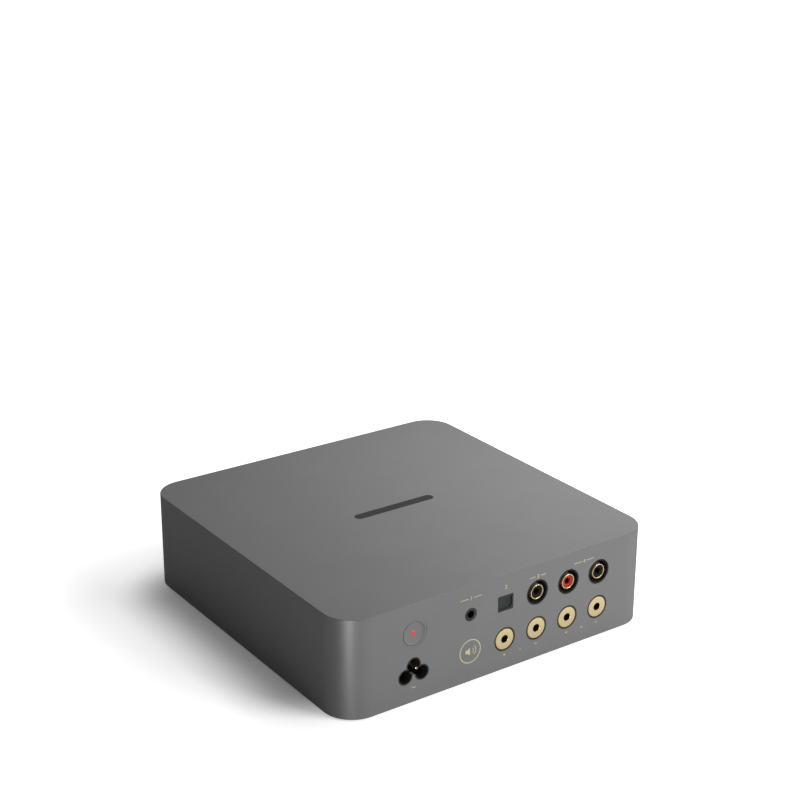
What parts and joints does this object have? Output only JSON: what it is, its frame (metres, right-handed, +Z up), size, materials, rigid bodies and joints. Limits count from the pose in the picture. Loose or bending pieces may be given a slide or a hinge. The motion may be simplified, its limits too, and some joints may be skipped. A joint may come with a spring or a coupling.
{
  "type": "stereo amplifier",
  "caption": "Low square aluminium amplifier with rounded corners, a turning and pressing volume knob, a rear power button, and rear speaker, phono, optical, trigger and mains sockets.",
  "frame": {"origin": "centre of the whole part's footprint, at the underside of the rubber feet", "axes": "+Z up, +Y towards the rear sockets, +X to the right as seen from the knob side"},
  "size_m": [0.2, 0.2152, 0.0558],
  "materials": {
    "bezel_dark": "dark moulded plastic",
    "board_green": "solder mask over copper tracks",
    "button_grey": "satin anodised dark grey",
    "capacitor_sleeve": "shrink sleeve with aluminium top",
    "case_grey": "bead-blasted and anodised dark grey, satin",
    "component_black": "moulded epoxy",
    "contact_gold": "pale gold plating",
    "dot_red": "bright red",
    "ferrite": "sintered ferrite",
    "film_yellow": "moulded yellow case",
    "foot_rubber": "matt moulded rubber",
    "header_white": "moulded header",
    "heatsink_alu": "extruded, plain",
    "inlay_black": "polished black",
    "insulator_black": "black moulded plastic",
    "insulator_red": "red moulded plastic",
    "jack_grey": "dark grey moulded plastic",
    "knob_grey": "turned and anodised dark grey",
    "light_clear": "clear diffusing plastic",
    "pin_metal": "plated brass pins",
    "plate_dark": "fine textured black paint",
    "screw_black": "black oxide",
    "screw_steel": "zinc plated",
    "shutter_grey": "dark grey moulded plastic",
    "socket_black": "moulded black plastic",
    "winding_copper": "enamelled copper wire under tape",
    "wire_black": "insulated wire"
  },
  "bodies": {
    "chassis": {"case_shell": "case_grey", "top_inlay": "inlay_black", "base_plate": "plate_dark", "rubber_feet": "foot_rubber", "cover_screws": "screw_black", "board_standoffs": "screw_steel", "board_screws": "screw_steel", "power_supply_board": "board_green", "amplifier_board": "board_green", "connector_board": "board_green", "switch_board": "board_green", "front_board": "board_green", "board_link": "header_white", "phono_contacts": "contact_gold", "speaker_bezels": "bezel_dark", "trigger_jack": "jack_grey", "optical_housing": "socket_black", "optical_receiver": "component_black", "shutter_pin": "screw_steel", "inlet_body": "socket_black", "inlet_pins": "pin_metal", "switch_body": "component_black", "encoder_body": "screw_steel", "encoder_nut": "screw_steel", "light_pipes": "light_clear", "mains_fuse": "component_black", "filter_capacitor": "film_yellow", "filter_choke": "winding_copper", "bulk_capacitors": "capacitor_sleeve", "supply_heatsink": "heatsink_alu", "transformer_core": "ferrite", "transformer_winding": "film_yellow", "amplifier_chip": "component_black", "amplifier_heatsink": "heatsink_alu", "output_inductors": "ferrite", "speaker_relays": "component_black", "reservoir_capacitors": "capacitor_sleeve", "power_lead": "wire_black", "front_lead": "wire_black", "switch_lead": "wire_black", "coaxial_collar": "socket_black", "coaxial_shell": "contact_gold", "coaxial_insulator": "insulator_black", "line_right_collar": "socket_black", "line_right_shell": "contact_gold", "line_right_insulator": "insulator_red", "line_left_collar": "socket_black", "line_left_shell": "contact_gold", "line_left_insulator": "insulator_black", "speaker_left_plus_contact": "contact_gold", "speaker_left_minus_contact": "contact_gold", "speaker_right_plus_contact": "contact_gold", "speaker_right_minus_contact": "contact_gold"},
    "power_button": {"power_button": "button_grey", "power_button_dot": "dot_red", "switch_plunger": "header_white"},
    "optical_shutter": {"optical_shutter": "shutter_grey"},
    "knob_press_rod": {"encoder_rod": "screw_steel"},
    "volume_knob": {"encoder_shaft": "heatsink_alu", "volume_knob": "knob_grey"}
  },
  "joints": [
    {"name": "power_button_press", "type": "slide", "parent": "chassis", "child": "power_button", "axis": [0, -1, 0], "range_m": [0, 0.0015], "stiffness_N_per_m": 500, "springref_m": -0.001},
    {"name": "optical_shutter_swing", "type": "hinge", "parent": "chassis", "child": "optical_shutter", "pos_m": [0, 0.10625, 0.04195], "axis": [-1, 0, 0], "range_deg": [0, 85], "stiffness_Nm_per_rad": 0.0002, "springref_deg": -20.05},
    {"name": "volume_knob_press", "type": "slide", "parent": "chassis", "child": "knob_press_rod", "axis": [0, 1, 0], "range_m": [0, 0.0008], "stiffness_N_per_m": 1500, "springref_m": -0.001},
    {"name": "volume_knob_turn", "type": "hinge", "parent": "knob_press_rod", "child": "volume_knob", "pos_m": [0.052, -0.0974, 0.0283], "axis": [0, 1, 0], "continuous": true}
  ]
}
